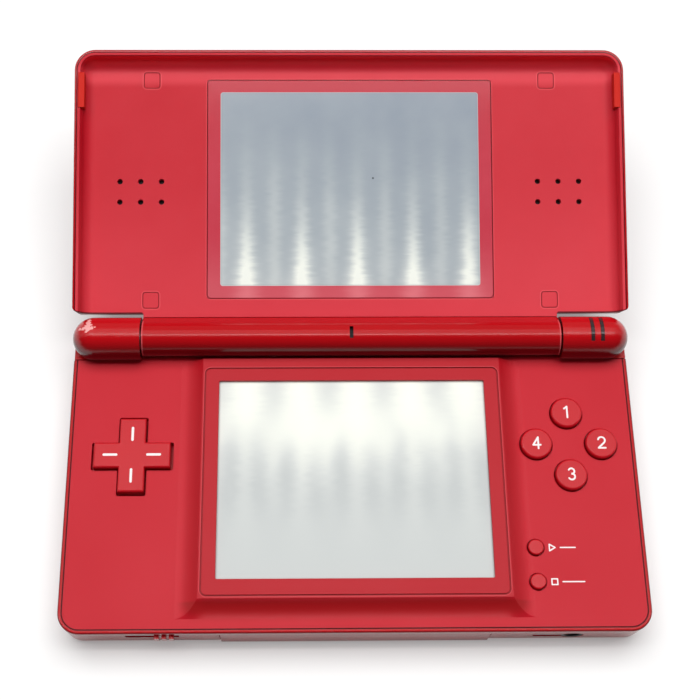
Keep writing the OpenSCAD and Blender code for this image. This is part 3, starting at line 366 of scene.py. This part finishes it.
def knuckle_gloss(look, at, base, rough):
    """The matte upper shell: its glossy hinge knuckles, the left one chipped and their low fronts in painted
    shade, its screen block with painted shade on the slopes before it, and seams.
    """
    x, y, z = look.split(at)
    off_axis = ((y * y + z * z) ** 0.5).rise(5.13, 5.2)
    mask = (1.0 - off_axis) * abs(x).rise(KNUCKLE_X, KNUCKLE_X + 0.08)
    block = z.rise(-2.9, -1.6) * (1.0 - abs(x).rise(40.0, 40.6))
    base = look.mix(block * 0.8, base, BLOCK_RED)
    # Painted shade on the slope before the screen block and on its flanks.
    over_x, over_y = (abs(x) - 35.3).at_least(0.0), (BLOCK_FRONT - y).at_least(0.0)
    out = (over_x * over_x + over_y * over_y) ** 0.5
    front = over_y.rise(0.05, 0.9) * (1.0 - out.rise(2.2, 5.3))
    flank = inside(over_x, 0.2, 3.4, 0.9) * (1.0 - over_y.rise(-0.5, 1.5)) * 0.4
    base = look.mix((front * 0.9 + flank).clamp(), base, SLOPE_SHADE_RED)
    base, rough = base_seam(look, at, base, rough)
    base = block_groove(look, at, base)
    base = look.mix(mask, base, look.mix(shaded_front(look), GLOSS, GLOSS_SHADE))
    ragged = (look.noise(at, 1.7, 4.0) - 0.5) * 1.5
    chip = None
    for fx, fy, reach in FLAKES:
        away = (((x - fx) * (x - fx) + (y - fy) * (y - fy)) ** 0.5 + ragged) / reach
        flake = 1.0 - away.rise(0.9, 1.15)
        chip = flake if chip is None else chip.at_least(flake)
    chip = chip * mask * z.rise(2.0, 2.5)
    bare = look.mix(look.noise(at, 2.5, 2.0), rgb(240, 178, 172), rgb(228, 140, 142))
    base = look.mix(chip, base, bare)
    return base, rough * (1.0 - mask) + mask * 0.16 + chip * 0.3


def handled(look, at, base, rough):
    """The lid's inner face: a painted sheen, paler towards the hinge and at its right, painted light on the
    end wall and the strip of face next to it, and painted shade at the ears' ends, with grooves and seams.
    """
    x, u, n = look.split(look.lid_place())
    # A painted sheen: paler towards the hinge and at the right, with a random cloud.
    painted_sheen = (1.0 - u.rise(6.0, 46.0)) * 0.7 + x.rise(-10.0, 60.0) * 0.25
    painted_sheen = painted_sheen + look.noise(at, 0.12, 3.0) * 0.25
    base = look.mix((painted_sheen * 0.5).clamp(), base, rgb(228, 72, 84))
    # Painted light on the end wall, which the rim keeps in shade, and on the strip of face next to it.
    end_wall_light = u.rise(66.0, 68.6) * (1.0 - n.rise(2.2, 2.6))
    base = look.mix(end_wall_light, base, rgb(240, 8, 30))
    base = look.mix(inside(u, 62.5, 65.8, 1.2) * 0.35, base, rgb(240, 84, 96))
    base = lid_rim_seam(look, x, u, n, base)
    # Painted shade on the ears' ends, which face forward and down, and along their edge by the hinge.
    _, back, _ = look.facing()
    ear_end_shade = (1.0 - u.rise(7.2, 7.6)) * (1.0 - back.rise(-0.85, -0.45)) * abs(x).rise(49.8, KNUCKLE_X)
    ear_edge_shade = (1.0 - u.rise(6.42, 6.62)) * abs(x).rise(KNUCKLE_X, KNUCKLE_X + 0.1)
    base = look.mix(ear_end_shade.at_least(ear_edge_shade) * 0.9, base, DUST_AND_SHADE_RED)
    return plate_outline(look, x, u, cover_grooves(look, base)), rough


def matte(name, **more):
    return painted(name, RED, RED_DEEP, 0.46, 0.0, 0.3, 0.35, **more)


def lacquered(name, **more):
    return painted(name, GLOSS, GLOSS_DEEP, 0.22, 0.5, 0.03, 0.06, shine=0.3, **more)


lid_red = matte("matte_red_lid_face", extra=handled, shine=0.55)
shell_red = matte("matte_red_with_gloss_knuckles", extra=knuckle_gloss, relief=hollow_front, shine=0.65)
gloss_red = lacquered("gloss_red_lacquer", deep=SIDE_SHADING_RED)
base_lacquer = lacquered("gloss_red_base_shell", extra=base_seam, deep=SIDE_SHADING_RED)
lid_lacquer = lacquered("gloss_red_lid_shell", extra=lid_seams)
cover_red = painted("gloss_red_cover", rgb(184, 4, 14), rgb(164, 2, 9), 0.24, 0.5, 0.08, 0.08,
                    deep=SIDE_SHADING_RED, shine=0.3)
key_red = painted("satin_red_keys", rgb(193, 8, 27), rgb(182, 5, 22), 0.3, 0.35, 0.15, 0.12, edge=0.0002)


def rubber(name, colour, dark, roughness):
    look = Look(name)
    at = look.place()
    fine = look.noise(at, 6.0, 4.0)
    normal = look.bump(fine, 0.4, 0.00005, look.soft_edges(0.0001))
    return look.finish(base_color=look.mix(fine, colour, dark), roughness=roughness + fine * 0.1,
                       normal=normal)


def moulded(name, colour, dark, roughness):
    look = Look(name)
    at = look.place()
    fine, cloud = look.noise(at, 12.0, 3.0), look.noise(at, 0.2, 2.0)
    normal = look.bump(fine, 0.2, 0.00004, look.soft_edges(0.0001))
    return look.finish(base_color=look.mix(fine * 0.5 + cloud * 0.5, colour, dark),
                       roughness=roughness + cloud * 0.1, normal=normal)


def steel(name, colour, roughness):
    look = Look(name)
    at = look.place()
    lines = look.noise(look.stretched(at, 0.3, 8.0, 8.0), 4.0, 3.0)
    spots = look.noise(at, 0.7, 4.0)
    normal = look.bump(lines, 0.15, 0.00003, look.soft_edges(0.0001))
    return look.finish(base_color=look.mix(spots, colour, tuple(c * 0.8 for c in colour[:3]) + (1.0,)),
                       metallic=1.0, roughness=roughness + lines * 0.15, normal=normal)


bumper_red = rubber("soft_orange_red_rubber", rgb(206, 36, 20), rgb(190, 26, 14), 0.55)
foot_rubber = rubber("dark_foot_rubber", rgb(38, 36, 37), rgb(26, 25, 26), 0.75)
membrane = rubber("silicone_membrane", rgb(178, 182, 180), rgb(160, 164, 162), 0.5)
dark_plastic = moulded("dark_moulded_plastic", rgb(36, 34, 35), rgb(24, 23, 24), 0.4)
display_case = moulded("display_frame", rgb(92, 94, 96), rgb(70, 72, 74), 0.45)
battery_wrap = moulded("battery_wrap", rgb(120, 126, 132), rgb(104, 110, 116), 0.5)
metal = steel("sheet_steel", rgb(196, 197, 199), 0.28)


def circuit_board():
    look = Look("solder_mask")
    at = look.place()
    x, y, _ = look.split(at)
    tracks = ((x * 4.2).sin() * (y * 3.6).sin()).rise(0.25, 0.4)
    cloud = look.noise(at, 0.5, 3.0)
    base = look.mix(tracks, look.mix(cloud, rgb(16, 84, 44), rgb(12, 66, 36)), rgb(36, 120, 66))
    return look.finish(base_color=base, roughness=0.35 + tracks * 0.1,
                       normal=look.bump(tracks, 0.3, 0.00003, look.soft_edges(0.0001)))


def ribbon_film():
    look = Look("ribbon_film")
    at = look.place()
    x, _, _ = look.split(at)
    lines = (x * 9.0).sin().rise(-0.1, 0.1)
    return look.finish(base_color=look.mix(lines, rgb(186, 120, 44), rgb(142, 84, 26)), roughness=0.35,
                       normal=look.bump(lines, 0.2, 0.00003))


def smoked_light():
    look = Look("smoked_light_window")
    at = look.place()
    fine = look.noise(at, 3.0, 3.0)
    return look.finish(base_color=look.mix(fine, rgb(58, 40, 42), rgb(40, 26, 28)),
                       roughness=0.12 + fine * 0.1, coat_weight=0.6, coat_roughness=0.05,
                       normal=look.soft_edges(0.0001))


def lamp_columns(x, pitch, shift):
    """Upright columns of light from a row of lamps, 0 between them and 1 at their middle."""
    return ((x + shift) * (math.tau / pitch) + math.pi / 2).sin() * 0.5 + 0.5


def wavered(look, at, x, reach):
    """x with the small sideways waver that a film's surface gives a reflection."""
    return x + (look.noise(look.stretched(at, 0.25, 1.6, 0.0), 0.5, 3.0) - 0.5) * reach


def lower_screen():
    look = Look("satin_touch_film")
    at = look.place()
    x, y, _ = look.split(at)
    # Painted reflections of a row of lamps on the film: upright columns of light, paler towards the top.
    high = (y + 57.75) / SCREEN_LENGTH
    bent = wavered(look, at, x, 2.6)
    wide, narrow = lamp_columns(bent, 12.95, -0.9), lamp_columns(bent, 6.5, -0.9)
    cloud = look.noise(look.stretched(at, 1.0, 0.55, 1.0), 0.07, 2.0)
    light = (high + (cloud - 0.5) * 0.5 - abs(x + 1.0) * 0.004).rise(0.28, 0.84)
    dark_top = (1.0 - wide) * high.rise(0.68, 0.98) * 0.5
    dark_middle = (1.0 - narrow) * inside(high, 0.35, 0.66, 0.16) * 0.24
    value = 0.1 + light * 0.85 - dark_top - dark_middle + wide * inside(high, 0.2, 0.6, 0.2) * 0.1
    base = look.ramp(value.clamp(), (
        (0.0, rgb(186, 190, 189)), (0.35, rgb(203, 206, 203)), (0.7, rgb(228, 230, 222)),
        (1.0, rgb(243, 244, 232))))
    # Painted shade along the screen's edges.
    edge = 1.0 - inside(x, -SCREEN_X, SCREEN_X, 0.25) * inside(y, -57.4, -10.6, 0.25)
    base = look.mix(edge * 0.35, base, rgb(150, 148, 148))
    fine = look.noise(at, 8.0, 2.0)
    return look.finish(base_color=base, roughness=0.3 + fine * 0.06, coat_weight=0.3, coat_roughness=0.15,
                       normal=look.bump(fine, 0.05, 0.00003))


# A grain of dust on the upper screen: along the hinge and out along the lid.
SPECK_X, SPECK_U = 5.61, 39.13


def upper_plate():
    """A clear plate over the upper screen with its border painted red from behind."""
    look = Look("upper_window_plate")
    at = look.lid_place()
    x, u, _ = look.split(at)
    high = (u - 12.85) / SCREEN_LENGTH
    # Painted reflections of a row of lamps on the screen: bright spikes and veils, paler towards the hinge.
    bent = wavered(look, at, x, 2.2)
    wide, narrow = lamp_columns(bent, 13.45, -1.8), lamp_columns(bent, 6.72, -1.8)
    spikes = wide ** (2.0 + high.clamp() * 14.0) * (1.0 - high.rise(-0.1, 0.5))
    veils = narrow ** 1.5 * (1.0 - high.rise(0.3, 1.0)) * 0.34
    cloud = look.noise(at, 0.06, 3.0)
    value = 0.08 + (1.0 - high.rise(0.0, 1.0)) * 0.31 + spikes * 0.6 + veils * 0.5
    value = value + (cloud - 0.5) * 0.3
    screen = look.ramp((value - x * 0.0012).clamp(), (
        (0.0, rgb(138, 148, 160)), (0.3, rgb(163, 171, 177)), (0.6, rgb(194, 200, 200)),
        (1.0, rgb(240, 243, 234))))
    speck = ((x - SPECK_X) * (x - SPECK_X) + (u - SPECK_U) * (u - SPECK_U)) ** 0.5
    screen = look.mix((1.0 - speck.rise(0.18, 0.3)) * 0.8, screen, rgb(40, 44, 50))
    shade = 1.0 - inside(x, -SCREEN_X, SCREEN_X, 0.3) * inside(u, 13.15, 60.05, 0.3)
    screen = look.mix(shade * 0.3, screen, rgb(120, 122, 128))
    over_x, over_u = (abs(x) - 30.8).at_least(0.0), (abs(u - 36.6) - 23.15).at_least(0.0)
    corner = (over_x ** 2.0 + over_u ** 2.0) ** 0.5
    window = 1.0 - corner.rise(0.57, 0.63)
    lip = corner.rise(0.4, 0.5) * window
    screen = look.mix(lip * 0.45, screen, rgb(222, 222, 224))
    low = 1.0 - high.rise(-0.1, 0.3)
    border = look.mix(look.noise(at, 0.3, 2.0), rgb(196, 62, 78), rgb(188, 54, 70))
    # Painted shade on the border towards the top, and painted reflections of the lamps on it towards the
    # hinge.
    border = look.mix(high.rise(0.5, 1.0) * 0.6, border, rgb(184, 30, 48))
    border = look.mix((low * 0.3 + low * spikes * 0.5).clamp(), border, rgb(226, 128, 136))
    border = plate_outline(look, x, u, border)
    return look.finish(base_color=look.mix(window, border, screen), roughness=0.16, coat_weight=0.5,
                       coat_roughness=0.05, normal=look.soft_edges(0.00012))


def printed(name, colour):
    """Printed ink, slightly raised and a little worn."""
    look = Look(name)
    at = look.place()
    worn = look.noise(at, 5.0, 4.0)
    return look.finish(base_color=look.mix(worn.rise(0.55, 0.75) * 0.35, colour, rgb(214, 120, 126)),
                       roughness=0.45 + worn * 0.1)


touch = lower_screen()
window = upper_plate()
white_ink = printed("white_ink", rgb(238, 232, 232))

FINISH = {
    "base_lower_shell": base_lacquer, "base_upper_shell": shell_red, "touch_panel": touch,
    "lower_display": display_case, "main_board": circuit_board(), "radio_module": metal,
    "battery": battery_wrap, "battery_cover": gloss_red, "battery_cover_screw": metal, "case_screws": metal,
    "rubber_feet": foot_rubber, "card_socket": metal, "cartridge_socket": metal, "cross_membrane": membrane,
    "keys_membrane": membrane, "small_keys_membrane": membrane, "headphone_jack": dark_plastic,
    "charge_socket": dark_plastic, "volume_pot": dark_plastic, "power_switch": dark_plastic,
    "shoulder_switches": dark_plastic, "shoulder_pins": metal, "shoulder_springs": metal,
    "hinge_clutch": metal, "hinge_bush": metal, "light_guides": smoked_light(),
    "lid_outer_shell": lid_lacquer, "lid_inner_shell": lid_red, "window_plate": window,
    "upper_display": display_case,
    "left_speaker": dark_plastic, "right_speaker": dark_plastic, "microphone": dark_plastic,
    "lid_screws": metal, "screw_covers": lid_red, "rim_bumpers": bumper_red, "hinge_shaft": metal,
    "hinge_sleeve": metal, "display_ribbon": ribbon_film(), "cross_rocker": key_red, "cross_button": key_red,
    "top_button": key_red, "right_button": key_red, "bottom_button": key_red, "left_button": key_red,
    "upper_small_button": key_red, "lower_small_button": key_red, "volume_slider": gloss_red,
    "power_slider": gloss_red, "left_shoulder_button": gloss_red, "right_shoulder_button": gloss_red,
    "stylus": gloss_red, "dust_cover": cover_red,
}
for name, obj in nodes.items():
    obj.data.materials.clear()
    obj.data.materials.append(FINISH[name])


# ---- Printed marks ----

def stroke_mesh(name, lines, width):
    """Flat raised strokes along smooth open lines in x and y, with round ends, from z = 0 up.
    Each line of a mark stands a trace higher than the last, so that they don't share a face."""
    bm = bmesh.new()
    half = width / 2
    for count, line in enumerate(lines):
        rise = Vector((0, 0, INK_THICK + INK_STEP * count))
        pts = [Vector((*p, 0)) for p in line]
        rows = []
        for i, p in enumerate(pts):
            ahead = (pts[min(i + 1, len(pts) - 1)] - pts[max(i - 1, 0)]).normalized()
            rows.append((p, ahead, half))
        first, last = rows[0], rows[-1]
        for share in (0.35, 0.7, 0.94):
            back = half * share
            rows.insert(0, (first[0] - first[1] * back, first[1], half * math.sqrt(1 - share * share)))
            rows.append((last[0] + last[1] * back, last[1], half * math.sqrt(1 - share * share)))
        rings = []
        for p, ahead, reach in rows:
            side = Vector((-ahead.y, ahead.x, 0)) * reach
            rings.append([bm.verts.new(q) for q in (p - side, p + side, p + side + rise, p - side + rise)])
        for a, b in zip(rings, rings[1:]):
            for k in range(4):
                bm.faces.new((a[k], a[(k + 1) % 4], b[(k + 1) % 4], b[k]))
        bm.faces.new(rings[0])
        bm.faces.new(rings[-1][::-1])
    bmesh.ops.recalc_face_normals(bm, faces=bm.faces)
    mesh = bpy.data.meshes.new(name)
    bm.to_mesh(mesh)
    bm.free()
    return mesh


def mark(name, lines, at, body, width):
    """A printed mark on a face that looks up. Its place is in millimetres, y from the front edge."""
    mesh = stroke_mesh(name, lines, width)
    obj = bpy.data.objects.new(name, mesh)
    bpy.context.scene.collection.objects.link(obj)
    place = Matrix.Translation(Vector((at[0], at[1] - MID_Y, at[2])) * MM)
    mesh.transform(place @ Matrix.Scale(MM, 4))
    mesh.materials.append(white_ink)
    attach(obj, body)


def arc(cx, cy, r, start, end, steps=14):
    return [(cx + r * math.cos(math.radians(start + (end - start) * i / steps)),
             cy + r * math.sin(math.radians(start + (end - start) * i / steps))) for i in range(steps + 1)]


NUMERALS = {
    1: [[(-0.55, 0.85), (0.1, 1.35)], [(0.1, 1.35), (0.1, -1.35)]],
    2: [arc(0, 0.55, 0.8, 165, -40) + [(-0.8, -1.3)], [(-0.8, -1.3), (0.85, -1.3)]],
    3: [arc(-0.05, 0.66, 0.68, 150, -80), arc(-0.05, -0.62, 0.74, 80, -150)],
    4: [[(0.35, -1.35), (0.35, 1.35)], [(0.35, 1.35), (-0.85, -0.5)], [(-0.85, -0.5), (0.9, -0.5)]],
}
KEY_TOP = PANEL_Z + KEY_RISE
for number, body, dx, dy in ((1, "top_button", 0, 1), (2, "right_button", 1, 0),
                             (3, "bottom_button", 0, -1), (4, "left_button", -1, 0)):
    place = (KEYS_AT[0] + KEY_STEP * dx, KEYS_AT[1] + KEY_STEP * dy, KEY_TOP - INK_SINK)
    mark("numeral_%d" % number, NUMERALS[number], place, body, 0.42)

CROSS_TOP = PANEL_Z + CROSS_RISE
for side, dx, dy in (("right", 1, 0), ("back", 0, 1), ("left", -1, 0), ("front", 0, -1)):
    line = [(3.6 * dx, 3.6 * dy), (6.5 * dx, 6.5 * dy)]
    mark("cross_dash_" + side, [line], (*CROSS_AT, CROSS_TOP - INK_SINK), "cross_button", 0.58)

# Plain marks beside the two small buttons: a sign and a bar each.
PLAY = [[(0, -0.75), (0, 0.75)], [(0, 0.75), (1.3, 0)], [(1.3, 0), (0, -0.75)]]
CHOICE = [[(0, -0.65), (1.3, -0.65)], [(1.3, -0.65), (1.3, 0.65)], [(1.3, 0.65), (0, 0.65)],
          [(0, 0.65), (0, -0.65)]]
for name, sign, bar_end, y in (("play", PLAY, 5.9, 19.0), ("choice", CHOICE, 7.4, 11.15)):
    mark(name + "_mark", sign, (MARKS_X, y, PANEL_Z - INK_SINK), "base", 0.3)
    mark(name + "_bar", [[(2.5, 0), (bar_end, 0)]], (MARKS_X, y, PANEL_Z - INK_SINK), "base", 0.3)


# ---- Table, light and camera ----

def table():
    """A pale table top. It is seen and mirrored paler than it lights the console from below,
    and whiter away from the console, where no shadow lies."""
    look = Look("pale_table")
    at = look.node("TexCoord", {}, {}, out="Object")
    cloud = look.noise(at, 1.5, 2.0)
    direct, glossy, through = look.rays()
    mirrored = glossy.at_least(through)
    seen = direct.at_least(mirrored)
    pale = look.mix(cloud, rgb(241, 240, 239), rgb(246, 246, 245))
    diffuse = look.node("BsdfDiffuse", {}, {"Color": look.mix(seen, rgb(165, 165, 165), pale)})
    white = look.node("Emission", {}, {"Color": (1, 1, 1, 1), "Strength": 1.0})
    x, y, _ = look.split(at)
    far = ((x * x + y * y) ** 0.5).rise(0.12, 0.6)
    whiter = (direct * (far * 0.75 + 0.25)).at_least(mirrored * 0.06)
    finish = look.out(look.node("MixShader", {}, {0: whiter, 1: diffuse, 2: white}))
    bm = bmesh.new()
    steps, width = 24, 6.0
    for i in range(steps + 1):
        for j in range(steps + 1):
            bm.verts.new(((i / steps - 0.5) * width, (j / steps - 0.5) * width, 0.0))
    bm.verts.ensure_lookup_table()
    for i in range(steps):
        for j in range(steps):
            a = i * (steps + 1) + j
            bm.faces.new([bm.verts[k] for k in (a, a + steps + 1, a + steps + 2, a + 1)])
    mesh = bpy.data.meshes.new("table_top")
    bm.to_mesh(mesh)
    bm.free()
    mesh.materials.append(finish)
    obj = bpy.data.objects.new("table_top", mesh)
    bpy.context.scene.collection.objects.link(obj)


WORLD_LIGHT = 0.17


def world():
    """A white room. What shines mirrors a pale panel over and behind the console, a low pale sweep
    at the back and sides, and a dim room before it."""
    look = Look("studio", room=True)
    seen, mirrored, through = look.rays()
    _, y, z = look.split(look.node("TexCoord", {}, {}, out="Generated"))
    lean = y / (y * y + z * z + 0.0001) ** 0.5
    panel = lean.rise(0.0, 0.1) * (1.0 - lean.rise(0.5, 0.6) * 0.6)
    edge = inside(lean, 0.5, 0.55, 0.03)
    sweep = (1.0 - z.rise(0.04, 0.22)) * (0.15 + 0.85 * y.rise(-0.6, -0.1))
    room = (panel * 0.55 + edge * 0.5).at_least(sweep * 0.9) + 0.05
    dim = look.node("Background", {}, {"Color": (0.96, 0.98, 1.0, 1.0), "Strength": WORLD_LIGHT})
    grey = look.mix(room.at_most(1.0), (0, 0, 0, 1), (1, 1, 1, 1))
    mirror = look.node("Background", {}, {"Color": grey, "Strength": 1.0})
    white = look.node("Background", {}, {"Color": (1, 1, 1, 1), "Strength": 1.0})
    lit = look.node("MixShader", {}, {0: mirrored, 1: dim, 2: mirror})
    bpy.context.scene.world = look.out(
        look.node("MixShader", {}, {0: seen.at_least(through), 1: lit, 2: white}))


def lamp(name, at, size, glow, mirrored=True):
    """A soft lamp that faces the console. Its glow is its own brightness, with white as 1."""
    data = bpy.data.lights.new(name, "AREA")
    data.shape = "RECTANGLE"
    data.size, data.size_y = size
    data.energy = 4.0 * size[0] * size[1] * glow
    obj = bpy.data.objects.new(name, data)
    bpy.context.scene.collection.objects.link(obj)
    obj.location = at
    obj.rotation_euler = (Vector((0, 0, 0.01)) - Vector(at)).to_track_quat("-Z", "Y").to_euler()
    obj.visible_glossy = mirrored


table()
world()
lamp("key_behind", (0.0, 0.29, 1.27), (1.3, 0.9), 4.1, mirrored=False)
lamp("strip_above", (0.0, 0.05, 1.0), (1.8, 0.06), 4.6)

# The camera that fits the photograph: its pixels, focal length and middle, place and directions.
PHOTO_PIXELS, SENSOR = 700, 36.0
FOCAL_PIXELS = 1356.83
MIDDLE_OFF_X, MIDDLE_OFF_Y = 31.425, -19.624
CAMERA_AT = Vector((-0.01284149, (-57.11366 - MID_Y) * MM, 0.3142943))
RIGHT = Vector((0.99987514, -0.00853599, 0.01329826)).normalized()
AHEAD = Vector((0.01558823, 0.39481042, -0.91863036)).normalized()
RIGHT = (RIGHT - AHEAD * RIGHT.dot(AHEAD)).normalized()
UP = RIGHT.cross(AHEAD)
camera_data = bpy.data.cameras.new("photo_view")
camera_data.sensor_width = SENSOR
camera_data.lens = FOCAL_PIXELS / PHOTO_PIXELS * SENSOR
camera_data.shift_x, camera_data.shift_y = MIDDLE_OFF_X / PHOTO_PIXELS, MIDDLE_OFF_Y / PHOTO_PIXELS
camera_data.clip_start, camera_data.clip_end = 0.01, 20.0
camera = bpy.data.objects.new("photo_view", camera_data)
bpy.context.scene.collection.objects.link(camera)
turn = Matrix((RIGHT, UP, -AHEAD)).transposed().to_4x4()
camera.matrix_world = Matrix.Translation(CAMERA_AT) @ turn
bpy.context.scene.camera = camera
bpy.context.scene.view_settings.view_transform = "Standard"
